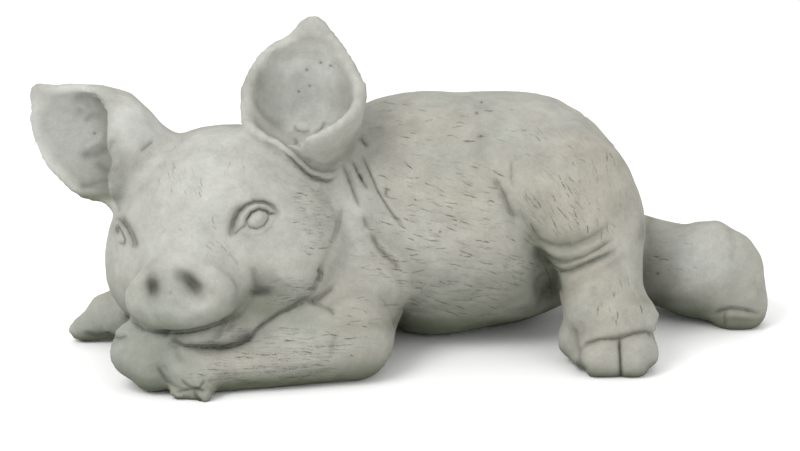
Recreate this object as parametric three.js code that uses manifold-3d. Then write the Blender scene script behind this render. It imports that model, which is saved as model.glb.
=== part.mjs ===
// A resting piglet for the garden, cast in one piece in reconstituted stone.
// It lies on its belly with its chin on its forelegs and its face turned to the viewer.
// Millimetres, +Z up. The muzzle side is at -X, the rump at +X, and the viewer stands at -Y.
import * as THREE from "three";
import { triTable } from "three/addons/objects/MarchingCubes.js";
import { mergeVertices } from "three/addons/utils/BufferGeometryUtils.js";
import Module from "manifold-3d";

const wasm = await Module();
wasm.setup();

// Driving sizes, in millimetres unless said otherwise
const statueLength = 511; // tip of the far ear to the far hind hoof
const modelledLength = 511; // the length at which the pose below was drawn
const earWall = 9; // thickness of the ears, whatever the length
const gridStep = 2.5; // spacing of the grid that skins the forms
const triangleBudget = 9400; // triangles kept after thinning

// Where the viewer of the front drawing stands
const viewDistance = 1600;
const viewPitch = 17; // degrees, looking down
const aimHeight = 71;

// Forms
// A form is a signed distance, below zero inside the stone, with the ball and the box that hold it.

const radians = THREE.MathUtils.degToRad;
const clamp = THREE.MathUtils.clamp;

function form(centre, reach, distance, bounds = boxRound(centre, reach)) {
  return { centre, reach, distance, bounds };
}

function boxRound(centre, reach) {
  const size = new THREE.Vector3(2 * reach, 2 * reach, 2 * reach);
  return new THREE.Box3().setFromCenterAndSize(new THREE.Vector3(...centre), size);
}

// Carries a distance drawn around the origin to a centre and a tilt
function tilted([cx, cy, cz], [tiltX, tiltY, tiltZ], reach, distance) {
  const turn = new THREE.Euler(radians(tiltX), radians(tiltY), radians(tiltZ));
  const m = new THREE.Matrix4().makeRotationFromEuler(turn).transpose().elements;
  return form([cx, cy, cz], reach, (x, y, z) => {
    const dx = x - cx;
    const dy = y - cy;
    const dz = z - cz;
    return distance(
      m[0] * dx + m[4] * dy + m[8] * dz,
      m[1] * dx + m[5] * dy + m[9] * dz,
      m[2] * dx + m[6] * dy + m[10] * dz,
    );
  });
}

function ellipsoid(centre, [a, b, c], tilt = [0, 0, 0]) {
  return tilted(centre, tilt, Math.max(a, b, c), (x, y, z) => {
    const u = x / a;
    const v = y / b;
    const w = z / c;
    const near = Math.sqrt(u * u + v * v + w * w);
    const slope = Math.sqrt((u / a) ** 2 + (v / b) ** 2 + (w / c) ** 2);
    return slope > 1e-9 ? (near * (near - 1)) / slope : -Math.min(a, b, c);
  });
}

// A block with rounded edges, given by half its sizes
function block(centre, [a, b, c], round, tilt = [0, 0, 0]) {
  return tilted(centre, tilt, Math.hypot(a, b, c), (x, y, z) => {
    const u = Math.abs(x) - a + round;
    const v = Math.abs(y) - b + round;
    const w = Math.abs(z) - c + round;
    const outside = Math.hypot(Math.max(u, 0), Math.max(v, 0), Math.max(w, 0));
    return outside + Math.min(Math.max(u, v, w), 0) - round;
  });
}

// A rounded limb through stations [x, y, z, radius]
function limb(...stations) {
  const middle = stations.reduce((s, p) => [s[0] + p[0], s[1] + p[1], s[2] + p[2]], [0, 0, 0]);
  const centre = middle.map((v) => v / stations.length);
  const away = (p) => Math.hypot(p[0] - centre[0], p[1] - centre[1], p[2] - centre[2]) + p[3];
  return form(centre, Math.max(...stations.map(away)), (x, y, z) => {
    let best = Infinity;
    for (let i = 1; i < stations.length; i++) {
      const [ax, ay, az, ar] = stations[i - 1];
      const [bx, by, bz, br] = stations[i];
      const ux = bx - ax;
      const uy = by - ay;
      const uz = bz - az;
      const along = ((x - ax) * ux + (y - ay) * uy + (z - az) * uz) / (ux * ux + uy * uy + uz * uz);
      const t = clamp(along, 0, 1);
      const off = Math.hypot(x - ax - t * ux, y - ay - t * uy, z - az - t * uz);
      best = Math.min(best, off - ar - t * (br - ar));
    }
    return best;
  });
}

const farOff = (f, x, y, z) =>
  Math.hypot(x - f.centre[0], y - f.centre[1], z - f.centre[2]) - f.reach;

// Joins forms with a fillet about as wide as soft
function blend(soft, ...forms) {
  const bounds = forms.reduce((box, f) => box.union(f.bounds), new THREE.Box3());
  const ball = bounds.getBoundingSphere(new THREE.Sphere());
  const distance = (x, y, z) => {
    let d = Infinity;
    for (const f of forms) {
      if (farOff(f, x, y, z) > d + soft) continue;
      const e = f.distance(x, y, z);
      const mix = Math.max(soft - Math.abs(d - e), 0) / soft;
      d = Math.min(d, e) - (Number.isFinite(mix) ? (mix * mix * soft) / 4 : 0);
    }
    return d;
  };
  return form(ball.center.toArray(), ball.radius, distance, bounds);
}

// Takes the cutters out of a form, with edges rounded by soft
function carve(soft, body, ...cutters) {
  return form(body.centre, body.reach, (x, y, z) => {
    let d = body.distance(x, y, z);
    for (const f of cutters) {
      if (farOff(f, x, y, z) > soft - d) continue;
      const e = -f.distance(x, y, z);
      const mix = Math.max(soft - Math.abs(d - e), 0) / soft;
      d = Math.max(d, e) + (mix * mix * soft) / 4;
    }
    return d;
  });
}

// A line on the front drawing, as [right, up] points from the aim, cut to a depth where the
// stone lies between two distances behind the aim. A depth below zero raises a ridge.
function stroke(width, depth, [nearest, farthest], ...points) {
  return { width, depth, nearest, farthest, points };
}

function drawnOffset(points, u, v) {
  let best = Infinity;
  for (let i = 1; i < points.length; i++) {
    const [au, av] = points[i - 1];
    const du = points[i][0] - au;
    const dv = points[i][1] - av;
    const t = clamp(((u - au) * du + (v - av) * dv) / (du * du + dv * dv), 0, 1);
    best = Math.min(best, Math.hypot(u - au - t * du, v - av - t * dv));
  }
  return best;
}

function chased(body, strokes) {
  const cosPitch = Math.cos(radians(viewPitch));
  const sinPitch = Math.sin(radians(viewPitch));
  const reachable = 2.5; // a stroke fades out within this many of its widths
  const boxes = strokes.map((s) => {
    const us = s.points.map((p) => p[0]);
    const vs = s.points.map((p) => p[1]);
    const pad = reachable * s.width;
    return [Math.min(...us) - pad, Math.max(...us) + pad, Math.min(...vs) - pad, Math.max(...vs) + pad];
  });
  const distance = (x, y, z) => {
    let d = body.distance(x, y, z);
    const away = viewDistance + y * cosPitch - (z - aimHeight) * sinPitch;
    const u = (viewDistance * x) / away;
    const v = (viewDistance * (y * sinPitch + (z - aimHeight) * cosPitch)) / away;
    for (let i = 0; i < strokes.length; i++) {
      const [left, right, low, high] = boxes[i];
      const s = strokes[i];
      if (u < left || u > right || v < low || v > high || y < s.nearest || y > s.farthest) continue;
      const r = drawnOffset(s.points, u, v) / s.width;
      d += s.depth * Math.exp(-r * r);
    }
    return d;
  };
  const highest = Math.max(...strokes.map((s) => -s.depth));
  return form(body.centre, body.reach + highest, distance, body.bounds.clone().expandByScalar(highest));
}

// Puts a form drawn in its own axes where a rigid matrix says
function placed(matrix, child) {
  const m = matrix.clone().invert().elements;
  const centre = new THREE.Vector3(...child.centre).applyMatrix4(matrix).toArray();
  return form(centre, child.reach, (x, y, z) =>
    child.distance(
      m[0] * x + m[4] * y + m[8] * z + m[12],
      m[1] * x + m[5] * y + m[9] * z + m[13],
      m[2] * x + m[6] * y + m[10] * z + m[14],
    ),
  );
}

// The same form on both sides of the plane y = 0
function bothSides(child) {
  const [cx, cy, cz] = child.centre;
  const reach = child.reach + Math.abs(cy);
  return form([cx, 0, cz], reach, (x, y, z) => child.distance(x, Math.abs(y), z));
}

// A smooth value along evenly spaced stations, at q from 0 to 1
function along(values, q) {
  const at = clamp(q, 0, 1) * (values.length - 1);
  const i = Math.min(Math.floor(at), values.length - 2);
  const t = at - i;
  const pick = (k) => values[clamp(k, 0, values.length - 1)];
  const [p0, p1, p2, p3] = [pick(i - 1), pick(i), pick(i + 1), pick(i + 2)];
  const bend = 2 * p0 - 5 * p1 + 4 * p2 - p3 + (3 * p1 - p0 - 3 * p2 + p3) * t;
  return p1 + 0.5 * t * (p2 - p0 + t * bend);
}

// Torso, with a seat under the belly that the saw leaves as a flat patch

function belly() {
  return ellipsoid([45, 14, 30], [80, 40, 36]);
}

function torso() {
  return blend(
    26,
    ellipsoid([14, -2, 75], [66, 76, 77]),
    ellipsoid([50, -2, 84], [92, 82, 81]),
    ellipsoid([94, 2, 89], [62, 72, 69]),
    limb([-5, -4, 97, 61], [-80, -28, 98, 50]),
  );
}

// Hind legs: the near one is planted beside the belly, the far one lies stretched out behind

function nearHaunch() {
  return blend(
    14,
    ellipsoid([110, -38, 98], [50, 47, 54], [0, 10, 0]),
    ellipsoid([132, -42, 80], [34, 44, 42]),
  );
}

function farHaunch() {
  return ellipsoid([112, 36, 74], [48, 46, 60]);
}

function nearHindLeg() {
  const column = limb([133, -56, 74, 31], [135, -76, 46, 28.5], [141, -88, 32, 27]);
  const cuff = ellipsoid([142, -88, 35], [31, 25, 14], [8, 0, 0]);
  const hoof = block([143, -90, 12], [29.5, 28, 19], 18);
  const dewclaw = ellipsoid([114, -84, 20], [8, 11, 15], [0, 12, 0]);
  return blend(3, blend(8, column, cuff), hoof, dewclaw);
}

function farHindLeg() {
  const leg = limb([140, 46, 40, 33], [186, 34, 34, 30], [210, 8, 33, 32]);
  const fetlock = ellipsoid([219, 6, 50], [19, 20, 24]);
  const hoof = block([235, -4, 30], [21, 21, 34], 16, [0, -8, 0]);
  return blend(9, blend(12, leg, fetlock), hoof);
}

// The tail lies curled on the far side of the rump
function tail() {
  const seat = new THREE.Vector3(138, 44, 112);
  const outward = new THREE.Vector3(0.82, 0.45, 0.35).normalize();
  const across = new THREE.Vector3(-outward.y, outward.x, 0).normalize();
  const upward = new THREE.Vector3().crossVectors(outward, across);
  const turns = 1.3;
  const links = 16;
  const stations = [];
  for (let i = 0; i <= links; i++) {
    const q = i / links;
    const angle = Math.PI * (0.8 - 2 * turns * q);
    const radius = 23 - 16 * q;
    const spot = seat
      .clone()
      .addScaledVector(across, radius * Math.cos(angle))
      .addScaledVector(upward, radius * Math.sin(angle))
      .addScaledVector(outward, 7 - 8 * (1 - q) ** 3);
    stations.push([spot.x, spot.y, spot.z, 7 - 2.5 * q]);
  }
  return limb(...stations);
}

// Forelegs: both fold forward along the ground under the chin

function nearForeleg() {
  const arm = limb([-33, -107, 25, 28], [-66, -116, 22, 25], [-98, -124, 20, 23], [-138, -134, 19, 21]);
  const upperArm = limb([-33, -104, 28, 27], [-22, -58, 54, 32]);
  const hoof = ellipsoid([-163, -132, 24], [27, 22, 24], [0, 30, 0]);
  const outerClaw = ellipsoid([-127, -153, 6], [8, 8, 9]);
  const innerClaw = ellipsoid([-141, -150, 5], [8, 6, 7]);
  return blend(3, blend(8, arm, upperArm), hoof, outerClaw, innerClaw);
}

function farForeleg() {
  return blend(
    4,
    limb([-60, 20, 34, 32], [-150, -14, 24, 24], [-188, -36, 20, 19]),
    limb([-192, -38, 19, 17], [-218, -40, 9, 9.5]),
  );
}

// Head, drawn in its own axes: x out of the snout, y to the pig's left, z up

function headMatrix([x, y, z], yaw, pitch, roll) {
  const out = new THREE.Vector3(-Math.sin(radians(yaw)), -Math.cos(radians(yaw)), 0);
  const left = new THREE.Vector3(Math.cos(radians(yaw)), -Math.sin(radians(yaw)), 0);
  out.applyAxisAngle(left, radians(pitch));
  left.applyAxisAngle(out, radians(roll));
  const up = new THREE.Vector3().crossVectors(out, left);
  return new THREE.Matrix4().makeBasis(out, left, up).setPosition(x, y, z);
}

function head() {
  const skull = blend(
    24,
    ellipsoid([-6, 0, 0], [60, 67, 57]),
    ellipsoid([24, 0, 6], [42, 56, 42]),
    bothSides(ellipsoid([10, 47, -30], [48, 38, 45])),
  );
  const cheek = bothSides(ellipsoid([36, 32, -30], [36, 28, 32]));
  const muzzle = limb([30, 0, -10, 44], [84, 0, -19, 31]);
  const jaw = limb([10, 0, -46, 36], [72, 0, -42, 20]);
  const disc = ellipsoid([95, 0, -20], [16, 40, 28], [0, -8, 0]);
  const face = blend(5, blend(20, skull, muzzle, cheek), jaw);
  const nostrils = bothSides(ellipsoid([109, 12, -5], [13, 5.5, 10], [25, 0, 0]));
  return carve(4, blend(7, face, disc), nostrils);
}

// One ear: a sheet rolled along its length, x from root to tip. Each section is an arc about a
// centre line, open towards z unless twisted; left and right are its two walls, in degrees of
// arc, as seen looking in with the tip up.
function ear({ length, radii, left, right, twist, sway, lift }) {
  const steepness = 0.7; // keeps the form a true distance where the walls slant
  const rimSlant = 0.6; // likewise for the rims, which slant more
  const thickness = (earWall * modelledLength) / statueLength;
  const reach = Math.hypot(length / 2, Math.max(...radii) + thickness);
  return form([length / 2, 0, lift[3]], reach + Math.max(...lift) - lift[3], (x, y, z) => {
    const q = clamp(x / length, 0, 1);
    const radius = along(radii, q);
    const dy = y - along(sway, q);
    const dz = z - along(lift, q);
    const turn = Math.atan2(dy, -dz) - radians(along(twist, q));
    const angle = Math.atan2(Math.sin(turn), Math.cos(turn));
    const leftEnd = radians(along(left, q));
    const rightEnd = -radians(along(right, q));
    const off = Math.hypot(dy, dz);
    const toRim = (end) =>
      Math.hypot(off * Math.cos(angle - end) - radius, rimSlant * off * Math.sin(angle - end));
    const open = angle > leftEnd || angle < rightEnd;
    const across = open ? Math.min(toRim(leftEnd), toRim(rightEnd)) : Math.abs(off - radius);
    const beyond = Math.max(-x, x - length, 0);
    return steepness * (Math.hypot(across, beyond) - thickness / 2);
  });
}

// Axes of an ear: from root to tip, and open towards a direction
function earMatrix(root, tip, towards) {
  const from = new THREE.Vector3(...root);
  const out = new THREE.Vector3(...tip).sub(from).normalize();
  const side = new THREE.Vector3().crossVectors(new THREE.Vector3(...towards), out).normalize();
  const open = new THREE.Vector3().crossVectors(out, side);
  return new THREE.Matrix4().makeBasis(out, side, open).setPosition(from);
}

function nearEar() {
  const shape = ear({
    length: 99,
    radii: [16, 25, 32, 38, 41, 38, 26, 5],
    left: [185, 183, 145, 74, 60, 52, 38, 8],
    right: [185, 183, 168, 120, 80, 52, 34, 8],
    twist: [0, 0, 0, 0, 0, 0, 0, 0],
    sway: [0, 1, 3, 5, 5, 2, -1, -2],
    lift: [16, 18, 23, 28, 34, 35, 26, 12],
  });
  return placed(earMatrix([-57, -38, 124], [-59, -32, 222], [-0.1, -0.95, 0.2]), shape);
}

function earFold() {
  return limb([-80, -72, 146, 4], [-61, -74, 134, 6], [-46, -66, 127, 6], [-38, -55, 130, 5]);
}

function farEar() {
  const shape = ear({
    length: 95,
    radii: [24, 28, 34, 38, 36, 31, 22, 10],
    left: [150, 144, 124, 100, 82, 69, 56, 38],
    right: [175, 170, 148, 122, 90, 62, 52, 42],
    twist: [-50, -48, -35, -20, -8, 0, 0, 0],
    sway: [2, 3, 3, 3, 4, 5, 5, 4],
    lift: [20, 24, 25, 25, 24, 22, 17, 8],
  });
  return placed(earMatrix([-160, -24, 126], [-244, -26, 172], [-0.12, -0.95, -0.1]), shape);
}

const headPose = headMatrix([-118, -55, 97], 15, 8, 7);

const trunk = blend(4, blend(12, torso(), belly(), nearHaunch(), farHaunch()), placed(headPose, head()));
const rough = blend(
  4,
  blend(5, trunk, nearEar(), farEar(), earFold()),
  tail(),
  nearHindLeg(),
  farHindLeg(),
  nearForeleg(),
  farForeleg(),
);

// Carving drawn on the front view

const headDepths = [-190, -60];
const neckDepths = [-120, -30];
const flankDepths = [-120, -40];
const hindDepths = [-140, -60];
const foreDepths = [-170, -100];
const farHindDepths = [-60, 30];

const pig = chased(rough, [
  // near eye: lid crease, eyeball and the groove under it
  stroke(3.4, 2.6, headDepths, [-117, -6], [-113, 7], [-107, 14], [-99, 18], [-90, 14], [-83, 9]),
  stroke(6.5, -2.6, headDepths, [-104, 3], [-97, 6]),
  stroke(3.4, 1.8, headDepths, [-84, 9], [-90, 2], [-97, -6], [-107, -6]),
  // far eye, on the turn of the cheek
  stroke(3, 2.6, headDepths, [-197, 8], [-192, 0], [-188, -9], [-187, -16]),
  stroke(5, -2.4, headDepths, [-197, -3], [-194, -8]),
  // mouth, its corner and the lower lip
  stroke(3.2, 4.8, headDepths, [-185, -69], [-175, -74], [-154, -75], [-136, -72], [-120, -65], [-105, -54]),
  stroke(3.2, 4.8, headDepths, [-104, -53], [-95, -46]),
  stroke(7, 6, headDepths, [-98, -45], [-90, -48]),
  // folds behind the head
  stroke(2.8, 2, neckDepths, [-39, 38], [-34, 25], [-29, 12], [-18, -10], [-8, -24], [1, -35]),
  stroke(2.6, 2, neckDepths, [-32, 40], [-24, 28], [-11, 14], [1, 0]),
  // crease of the flank, and the folds under the haunch
  stroke(3, 2.5, flankDepths, [55, 64], [62, 46], [69, 28], [81, 5], [92, -16], [100, -41], [103, -54]),
  stroke(3, 3, flankDepths, [92, -11], [113, -16], [133, -10], [145, -1]),
  stroke(3.5, 3.5, flankDepths, [97, -24], [118, -31], [133, -26], [145, -16]),
  stroke(7, 5, flankDepths, [98, -36], [102, -46], [104, -60]),
  // hind hooves: coronet and cleft
  stroke(2, 2, hindDepths, [120, -87], [130, -84], [153, -79], [177, -75]),
  stroke(2, 3, hindDepths, [154, -80], [154, -107]),
  stroke(2, 1.5, farHindDepths, [232, -4], [230, -24], [225, -52]),
  stroke(2, 2.5, farHindDepths, [222, -61], [252, -60]),
  // near fore hoof and its creases
  stroke(3, 2, foreDepths, [-160, -77], [-157, -87], [-152, -95], [-150, -108]),
  stroke(3, 2, foreDepths, [-167, -100], [-160, -111], [-150, -115]),
  stroke(3, 2, foreDepths, [-204, -80], [-192, -78]),
]);

// Skin: marching cubes over the forms

const leastShare = 0.02; // keeps a vertex off the ends of its grid edge
const cubeCorners = [0, 1, 2, 3, 4, 5, 6, 7].map((n) => [((n + 1) >> 1) & 1, (n >> 1) & 1, n >> 2]);
const cubeEdges = [
  [0, 1],
  [1, 2],
  [3, 2],
  [0, 3],
  [4, 5],
  [5, 6],
  [7, 6],
  [4, 7],
  [0, 4],
  [1, 5],
  [2, 6],
  [3, 7],
];

function skin(shape, step) {
  const searched = shape.bounds.clone().expandByScalar(2 * step);
  const low = searched.min.toArray().map((v) => Math.floor(v / step) * step);
  const [nx, ny, nz] = searched.max.toArray().map((v, c) => Math.ceil((v - low[c]) / step) + 1);
  const values = new Float32Array(nx * ny * nz).fill(NaN);
  const at = (i, j, k) => i + nx * (j + ny * k);
  const read = (i, j, k) => shape.distance(low[0] + i * step, low[1] + j * step, low[2] + k * step);
  const positions = [];
  const faces = [];
  const onEdge = new Map();

  function vertexOn(a, b) {
    const axis = b - a === 1 ? 0 : b - a === nx ? 1 : 2;
    const key = a * 3 + axis;
    let vertex = onEdge.get(key);
    if (vertex === undefined) {
      vertex = positions.length / 3;
      const share = clamp(values[a] / (values[a] - values[b]), leastShare, 1 - leastShare);
      const place = [a % nx, Math.floor(a / nx) % ny, Math.floor(a / (nx * ny))];
      place[axis] += share;
      positions.push(...place.map((v, c) => low[c] + step * v));
      onEdge.set(key, vertex);
    }
    return vertex;
  }

  function fillCube(i, j, k) {
    const nodes = cubeCorners.map(([a, b, c]) => at(i + a, j + b, k + c));
    let inside = 0;
    nodes.forEach((node, n) => {
      const [a, b, c] = cubeCorners[n];
      if (Number.isNaN(values[node])) values[node] = read(i + a, j + b, k + c);
      if (values[node] < 0) inside |= 1 << n;
    });
    for (let n = inside * 16; triTable[n] !== -1; n += 3) {
      const corners = [triTable[n + 2], triTable[n + 1], triTable[n]];
      faces.push(corners.map((e) => vertexOn(nodes[cubeEdges[e][0]], nodes[cubeEdges[e][1]])));
    }
  }

  // Cubes are visited in groups, and a group far from the surface is passed over
  const side = 4;
  const deepest = 10; // how far the carving may move the surface
  const reach = side * step + deepest;
  for (let k = 0; k < nz - 1; k += side)
    for (let j = 0; j < ny - 1; j += side)
      for (let i = 0; i < nx - 1; i += side) {
        if (Math.abs(read(i + side / 2, j + side / 2, k + side / 2)) > reach) continue;
        for (let c = k; c < Math.min(k + side, nz - 1); c++)
          for (let b = j; b < Math.min(j + side, ny - 1); b++)
            for (let a = i; a < Math.min(i + side, nx - 1); a++) fillCube(a, b, c);
      }
  return { positions, faces };
}

// Thinning: the edge whose loss changes the form least is closed up, again and again

function thin({ positions, faces }, budget) {
  const count = positions.length / 3;
  const spots = Float64Array.from(positions);
  const planes = new Float64Array(count * 10);
  const around = Array.from({ length: count }, () => []);
  const stamp = new Int32Array(count);
  const alive = new Uint8Array(faces.length).fill(1);
  const evenness = 4e-4; // weight on edge length, which keeps flat places evenly thinned
  const pull = 1e-3; // how firmly a new vertex is held near the middle of the edge it replaces
  const flattest = 0.25; // least cosine between a face before and after
  const thinnest = 0.05; // least height of a face as a share of its longest edge

  const normalOf = (ax, ay, az, bx, by, bz, cx, cy, cz) => [
    (by - ay) * (cz - az) - (bz - az) * (cy - ay),
    (bz - az) * (cx - ax) - (bx - ax) * (cz - az),
    (bx - ax) * (cy - ay) - (by - ay) * (cx - ax),
  ];
  const spot = (v) => [spots[3 * v], spots[3 * v + 1], spots[3 * v + 2]];

  faces.forEach((face, f) => {
    const [a, b, c] = face.map(spot);
    const n = normalOf(...a, ...b, ...c);
    const size = Math.hypot(...n) || 1e-12;
    const [p, q, r] = n.map((v) => v / size);
    const s = -(p * a[0] + q * a[1] + r * a[2]);
    const terms = [p * p, p * q, p * r, p * s, q * q, q * r, q * s, r * r, r * s, s * s];
    for (const v of face) {
      around[v].push(f);
      terms.forEach((term, t) => (planes[10 * v + t] += term * size));
    }
  });

  // The best place for the vertex that replaces an edge, and what it costs
  function closing(u, v) {
    const m = [];
    for (let t = 0; t < 10; t++) m.push(planes[10 * u + t] + planes[10 * v + t]);
    const a = spot(u);
    const b = spot(v);
    const middle = a.map((w, c) => (w + b[c]) / 2);
    const length = Math.hypot(a[0] - b[0], a[1] - b[1], a[2] - b[2]);
    const costAt = ([x, y, z]) =>
      m[0] * x * x + m[4] * y * y + m[7] * z * z + m[9] +
      2 * (m[1] * x * y + m[2] * x * z + m[5] * y * z + m[3] * x + m[6] * y + m[8] * z);
    const hold = pull * (m[0] + m[4] + m[7]);
    const [xx, yy, zz] = [m[0] + hold, m[4] + hold, m[7] + hold];
    const [xy, xz, yz] = [m[1], m[2], m[5]];
    const [x1, y1, z1] = [m[3], m[6], m[8]].map((w, c) => w - hold * middle[c]);
    const minors = [yy * zz - yz * yz, xz * yz - xy * zz, xy * yz - xz * yy];
    const det = xx * minors[0] + xy * minors[1] + xz * minors[2];
    const exact = [
      -(x1 * minors[0] + y1 * minors[1] + z1 * minors[2]) / det,
      -(x1 * minors[1] + y1 * (xx * zz - xz * xz) + z1 * (xy * xz - xx * yz)) / det,
      -(x1 * minors[2] + y1 * (xy * xz - xx * yz) + z1 * (xx * yy - xy * xy)) / det,
    ];
    const astray = Math.hypot(...exact.map((w, c) => w - middle[c]));
    const best = astray < length ? exact : middle;
    return { place: best, cost: costAt(best) + evenness * length * length };
  }

  const heap = [];
  function push(item) {
    let i = heap.push(item) - 1;
    while (i > 0) {
      const up = (i - 1) >> 1;
      if (heap[up].cost <= item.cost) break;
      heap[i] = heap[up];
      i = up;
    }
    heap[i] = item;
  }
  function pop() {
    const top = heap[0];
    const last = heap.pop();
    if (heap.length === 0) return top;
    let i = 0;
    for (;;) {
      let down = 2 * i + 1;
      if (down >= heap.length) break;
      if (down + 1 < heap.length && heap[down + 1].cost < heap[down].cost) down++;
      if (heap[down].cost >= last.cost) break;
      heap[i] = heap[down];
      i = down;
    }
    heap[i] = last;
    return top;
  }
  const offer = (u, v) => push({ ...closing(u, v), u, v, stamp: stamp[u] + stamp[v] });

  const neighbours = (v) => new Set(around[v].flatMap((f) => faces[f]).filter((w) => w !== v));

  function keepsForm(moved, other, place) {
    return around[moved].every((f) => {
      const face = faces[f];
      if (face.includes(other)) return true;
      const before = face.map(spot);
      const after = face.map((w, c) => (w === moved ? place : before[c]));
      const n = normalOf(...before[0], ...before[1], ...before[2]);
      const m = normalOf(...after[0], ...after[1], ...after[2]);
      const sizes = Math.hypot(...n) * Math.hypot(...m);
      const longest = Math.max(
        ...after.map((w, c) => Math.hypot(...w.map((x, k) => x - after[(c + 1) % 3][k]))),
      );
      const thick = Math.hypot(...m) > thinnest * longest * longest;
      return thick && n[0] * m[0] + n[1] * m[1] + n[2] * m[2] > flattest * sizes;
    });
  }

  for (let v = 0; v < count; v++) for (const w of neighbours(v)) if (w > v) offer(v, w);

  let left = faces.length;
  while (left > budget && heap.length > 0) {
    const { u, v, place, stamp: then } = pop();
    if (around[u].length === 0 || around[v].length === 0 || then !== stamp[u] + stamp[v]) continue;
    const shared = neighbours(u);
    const common = [...neighbours(v)].filter((w) => shared.has(w));
    if (!shared.has(v) || common.length !== 2) continue;
    if (!keepsForm(u, v, place) || !keepsForm(v, u, place)) continue;
    for (const f of around[v]) {
      if (faces[f].includes(u)) {
        alive[f] = 0;
        left--;
        for (const w of faces[f]) if (w !== v) around[w] = around[w].filter((g) => g !== f);
      } else {
        faces[f] = faces[f].map((w) => (w === v ? u : w));
        around[u].push(f);
      }
    }
    around[v] = [];
    place.forEach((w, c) => (spots[3 * u + c] = w));
    for (let t = 0; t < 10; t++) planes[10 * u + t] += planes[10 * v + t];
    stamp[u] += 1 + stamp[v];
    for (const w of neighbours(u)) offer(u, w);
  }
  return { spots, faces: faces.filter((_, f) => alive[f]) };
}

function packed({ spots, faces }) {
  const places = new Map();
  const vertices = [];
  const triangles = faces.flat().map((v) => {
    if (!places.has(v)) {
      places.set(v, vertices.length / 3);
      vertices.push(spots[3 * v], spots[3 * v + 1], spots[3 * v + 2]);
    }
    return places.get(v);
  });
  return { vertices, triangles };
}

// The underside is sawn flat at the ground

function solidFrom({ vertices, triangles }) {
  return new wasm.Manifold(
    new wasm.Mesh({
      numProp: 3,
      vertProperties: Float32Array.from(vertices),
      triVerts: Uint32Array.from(triangles),
    }),
  );
}

function blockSolid(geometry) {
  const welded = mergeVertices(geometry.deleteAttribute("normal").deleteAttribute("uv"));
  return solidFrom({ vertices: welded.attributes.position.array, triangles: welded.index.array });
}

const sawDepth = 40;
const ground = new THREE.BoxGeometry(2 * modelledLength, 2 * modelledLength, sawDepth);
ground.translate(0, 0, -sawDepth / 2);

const thinned = packed(thin(skin(pig, gridStep), triangleBudget));
const sawn = solidFrom(thinned).subtract(blockSolid(ground)).getMesh();

const geometry = new THREE.BufferGeometry()
  .setAttribute("position", new THREE.Float32BufferAttribute(sawn.vertProperties, 3))
  .setIndex(Array.from(sawn.triVerts));
geometry.scale(statueLength / modelledLength, statueLength / modelledLength, statueLength / modelledLength);
geometry.computeVertexNormals();

const stone = new THREE.MeshStandardMaterial({ color: 0xb4b3a8, roughness: 0.9, metalness: 0 });
const statue = new THREE.Mesh(geometry, stone);
statue.name = "pig_statue";

const group = new THREE.Group();
group.add(statue);
export default group;
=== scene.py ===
# Resting piglet in cast stone: camera, light, floor, the finely carved figure and its stone
import math
import random

import bpy
import numpy as np
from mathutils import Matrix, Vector, noise
from mathutils.bvhtree import BVHTree


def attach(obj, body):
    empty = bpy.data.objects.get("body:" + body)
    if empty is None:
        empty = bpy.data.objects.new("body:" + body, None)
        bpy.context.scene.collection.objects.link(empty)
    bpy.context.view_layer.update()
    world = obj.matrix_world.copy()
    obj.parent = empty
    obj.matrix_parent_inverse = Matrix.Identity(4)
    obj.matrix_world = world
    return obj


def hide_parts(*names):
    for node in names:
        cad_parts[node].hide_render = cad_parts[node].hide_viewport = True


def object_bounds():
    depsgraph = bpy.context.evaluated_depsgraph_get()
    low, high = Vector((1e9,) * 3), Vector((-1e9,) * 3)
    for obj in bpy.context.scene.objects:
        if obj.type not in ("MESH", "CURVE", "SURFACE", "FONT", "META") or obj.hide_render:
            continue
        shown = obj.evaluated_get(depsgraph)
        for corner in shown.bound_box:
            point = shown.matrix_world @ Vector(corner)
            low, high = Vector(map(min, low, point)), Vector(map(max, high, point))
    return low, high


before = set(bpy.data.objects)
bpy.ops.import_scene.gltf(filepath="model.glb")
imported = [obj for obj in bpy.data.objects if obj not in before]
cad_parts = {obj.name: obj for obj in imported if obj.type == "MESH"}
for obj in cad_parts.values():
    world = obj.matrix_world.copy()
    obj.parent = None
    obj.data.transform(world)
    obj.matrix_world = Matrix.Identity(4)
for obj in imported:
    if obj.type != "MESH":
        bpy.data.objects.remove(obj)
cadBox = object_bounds()
scene = bpy.context.scene
scene.view_settings.view_transform = "Standard"  # keeps the white ground white
millimetre = 0.001

# Camera, set where the picture was taken from
shot = {
    "width": 800,  # picture size in pixels
    "height": 451,
    "distance": 1.6,  # from the aim point
    "pitch": 17.0,  # degrees, looking down
    "aim": (0.0, 0.0, 0.071),
    "pixel": 0.0007,  # metres that one pixel covers at the aim point
    "sensor": 36.0,
}


def lookAt(thing, target):
    thing.rotation_euler = (Vector(target) - thing.location).to_track_quat("-Z", "Y").to_euler()


def makeCamera():
    pitch = math.radians(shot["pitch"])
    lens = bpy.data.cameras.new("shotLens")
    lens.sensor_width = shot["sensor"]
    lens.lens = shot["sensor"] * shot["distance"] / (shot["width"] * shot["pixel"])
    camera = bpy.data.objects.new("shotCamera", lens)
    scene.collection.objects.link(camera)
    back = Vector((0, -math.cos(pitch), math.sin(pitch)))
    camera.location = Vector(shot["aim"]) + back * shot["distance"]
    lookAt(camera, shot["aim"])
    scene.camera = camera


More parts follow.
